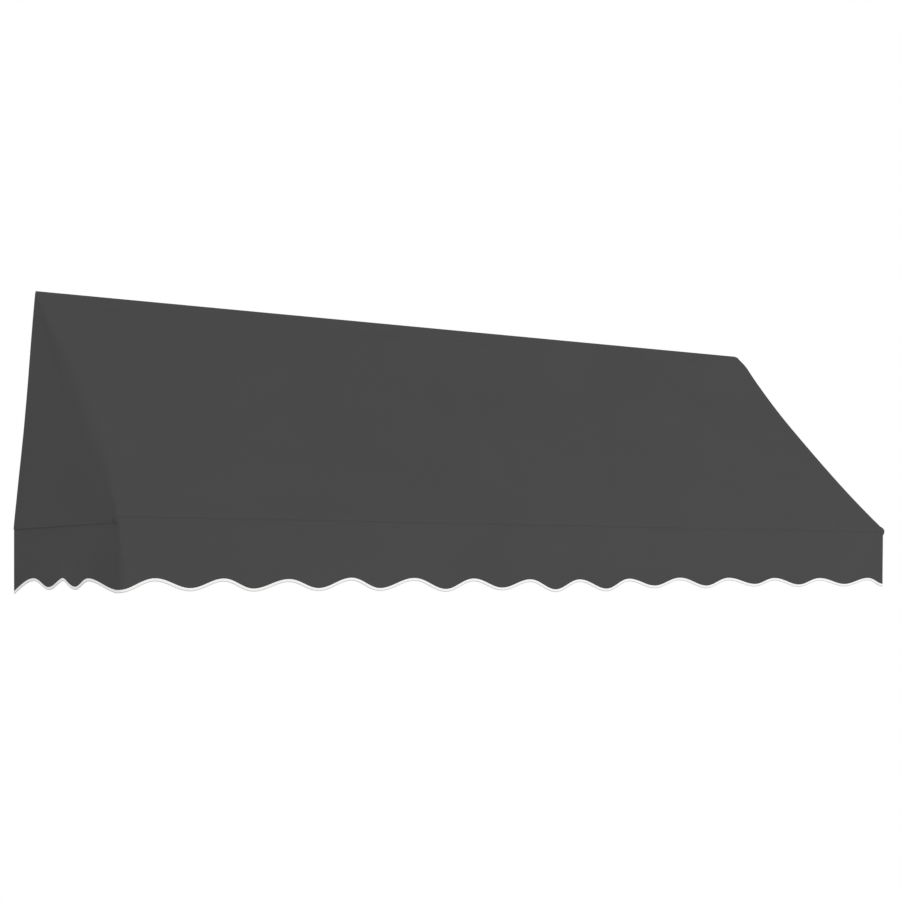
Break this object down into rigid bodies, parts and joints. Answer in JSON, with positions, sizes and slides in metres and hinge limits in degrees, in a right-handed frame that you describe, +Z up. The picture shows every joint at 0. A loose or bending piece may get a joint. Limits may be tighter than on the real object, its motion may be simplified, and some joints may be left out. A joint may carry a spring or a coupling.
{
  "type": "window awning",
  "caption": "Fold-up window awning: sloping cloth canopy with side wings and a scalloped, white-bound valance on a wall-hung rail, swing arms and a front bar.",
  "frame": {"origin": "middle rail bracket's back face, level with the axis of the top rail, on the wall plane", "axes": "+X along the rail to the right, +Y into the wall, +Z up"},
  "size_m": [3.5824, 0.9181, 1.0929],
  "materials": {
    "powder_coated_steel": "satin",
    "zinc_plated_steel": "satin",
    "black_plastic": "matt",
    "charcoal_polyester": "woven, matt",
    "white_binding": "woven, matt"
  },
  "bodies": {
    "root": {"rail_tube_left": "powder_coated_steel", "rail_tube_right": "powder_coated_steel", "rail_joint_sleeve": "powder_coated_steel", "rail_end_cap_left": "black_plastic", "rail_end_cap_right": "black_plastic", "rail_bracket_left": "powder_coated_steel", "rail_bracket_middle": "powder_coated_steel", "rail_bracket_right": "powder_coated_steel", "rail_screw_left": "zinc_plated_steel", "rail_screw_middle": "zinc_plated_steel", "rail_screw_right": "zinc_plated_steel", "arm_bracket_left": "powder_coated_steel", "arm_bracket_right": "powder_coated_steel", "pivot_bolt_left": "zinc_plated_steel", "pivot_bolt_right": "zinc_plated_steel", "pivot_nut_left": "zinc_plated_steel", "pivot_nut_right": "zinc_plated_steel", "pivot_washer_left_inner": "black_plastic", "pivot_washer_left_outer": "black_plastic", "pivot_washer_right_inner": "black_plastic", "pivot_washer_right_outer": "black_plastic", "canopy": "charcoal_polyester", "wing_left": "charcoal_polyester", "wing_right": "charcoal_polyester"},
    "arm_left": {"arm_tube_left": "powder_coated_steel", "arm_tongue_left": "zinc_plated_steel", "arm_eye_left": "zinc_plated_steel", "side_valance_left": "charcoal_polyester", "side_binding_left": "white_binding"},
    "arm_right": {"arm_tube_right": "powder_coated_steel", "arm_tongue_right": "zinc_plated_steel", "arm_eye_right": "zinc_plated_steel", "side_valance_right": "charcoal_polyester", "side_binding_right": "white_binding"},
    "front_bar": {"bar_tube_left": "powder_coated_steel", "bar_tube_right": "powder_coated_steel", "bar_joint_sleeve": "powder_coated_steel", "bar_end_cap_left": "black_plastic", "bar_end_cap_right": "black_plastic", "bar_collar_left_inner": "zinc_plated_steel", "bar_collar_left_outer": "zinc_plated_steel", "bar_collar_right_inner": "zinc_plated_steel", "bar_collar_right_outer": "zinc_plated_steel", "bar_tunnel": "charcoal_polyester", "front_valance": "charcoal_polyester", "front_binding": "white_binding"}
  },
  "joints": [
    {"name": "arm_left_swing", "type": "hinge", "parent": "root", "child": "arm_left", "pos_m": [-1.7, -0.035, -0.833], "axis": [-1, 0, 0], "range_deg": [0, 78], "deforming": ["canopy", "wing_left", "side_valance_left", "side_binding_left"]},
    {"name": "arm_right_swing", "type": "hinge", "parent": "root", "child": "arm_right", "pos_m": [1.7, -0.035, -0.833], "axis": [-1, 0, 0], "range_deg": [0, 78], "deforming": ["wing_right", "side_valance_right", "side_binding_right"]},
    {"name": "bar_turn", "type": "hinge", "parent": "arm_left", "child": "front_bar", "pos_m": [-1.7, -0.895, -0.833], "axis": [-1, 0, 0], "range_deg": [-78, 0]}
  ],
  "couplings": [
    {"joint": "arm_right_swing", "follows": "arm_left_swing", "ratio": 1},
    {"joint": "bar_turn", "follows": "arm_left_swing", "ratio": -1}
  ]
}
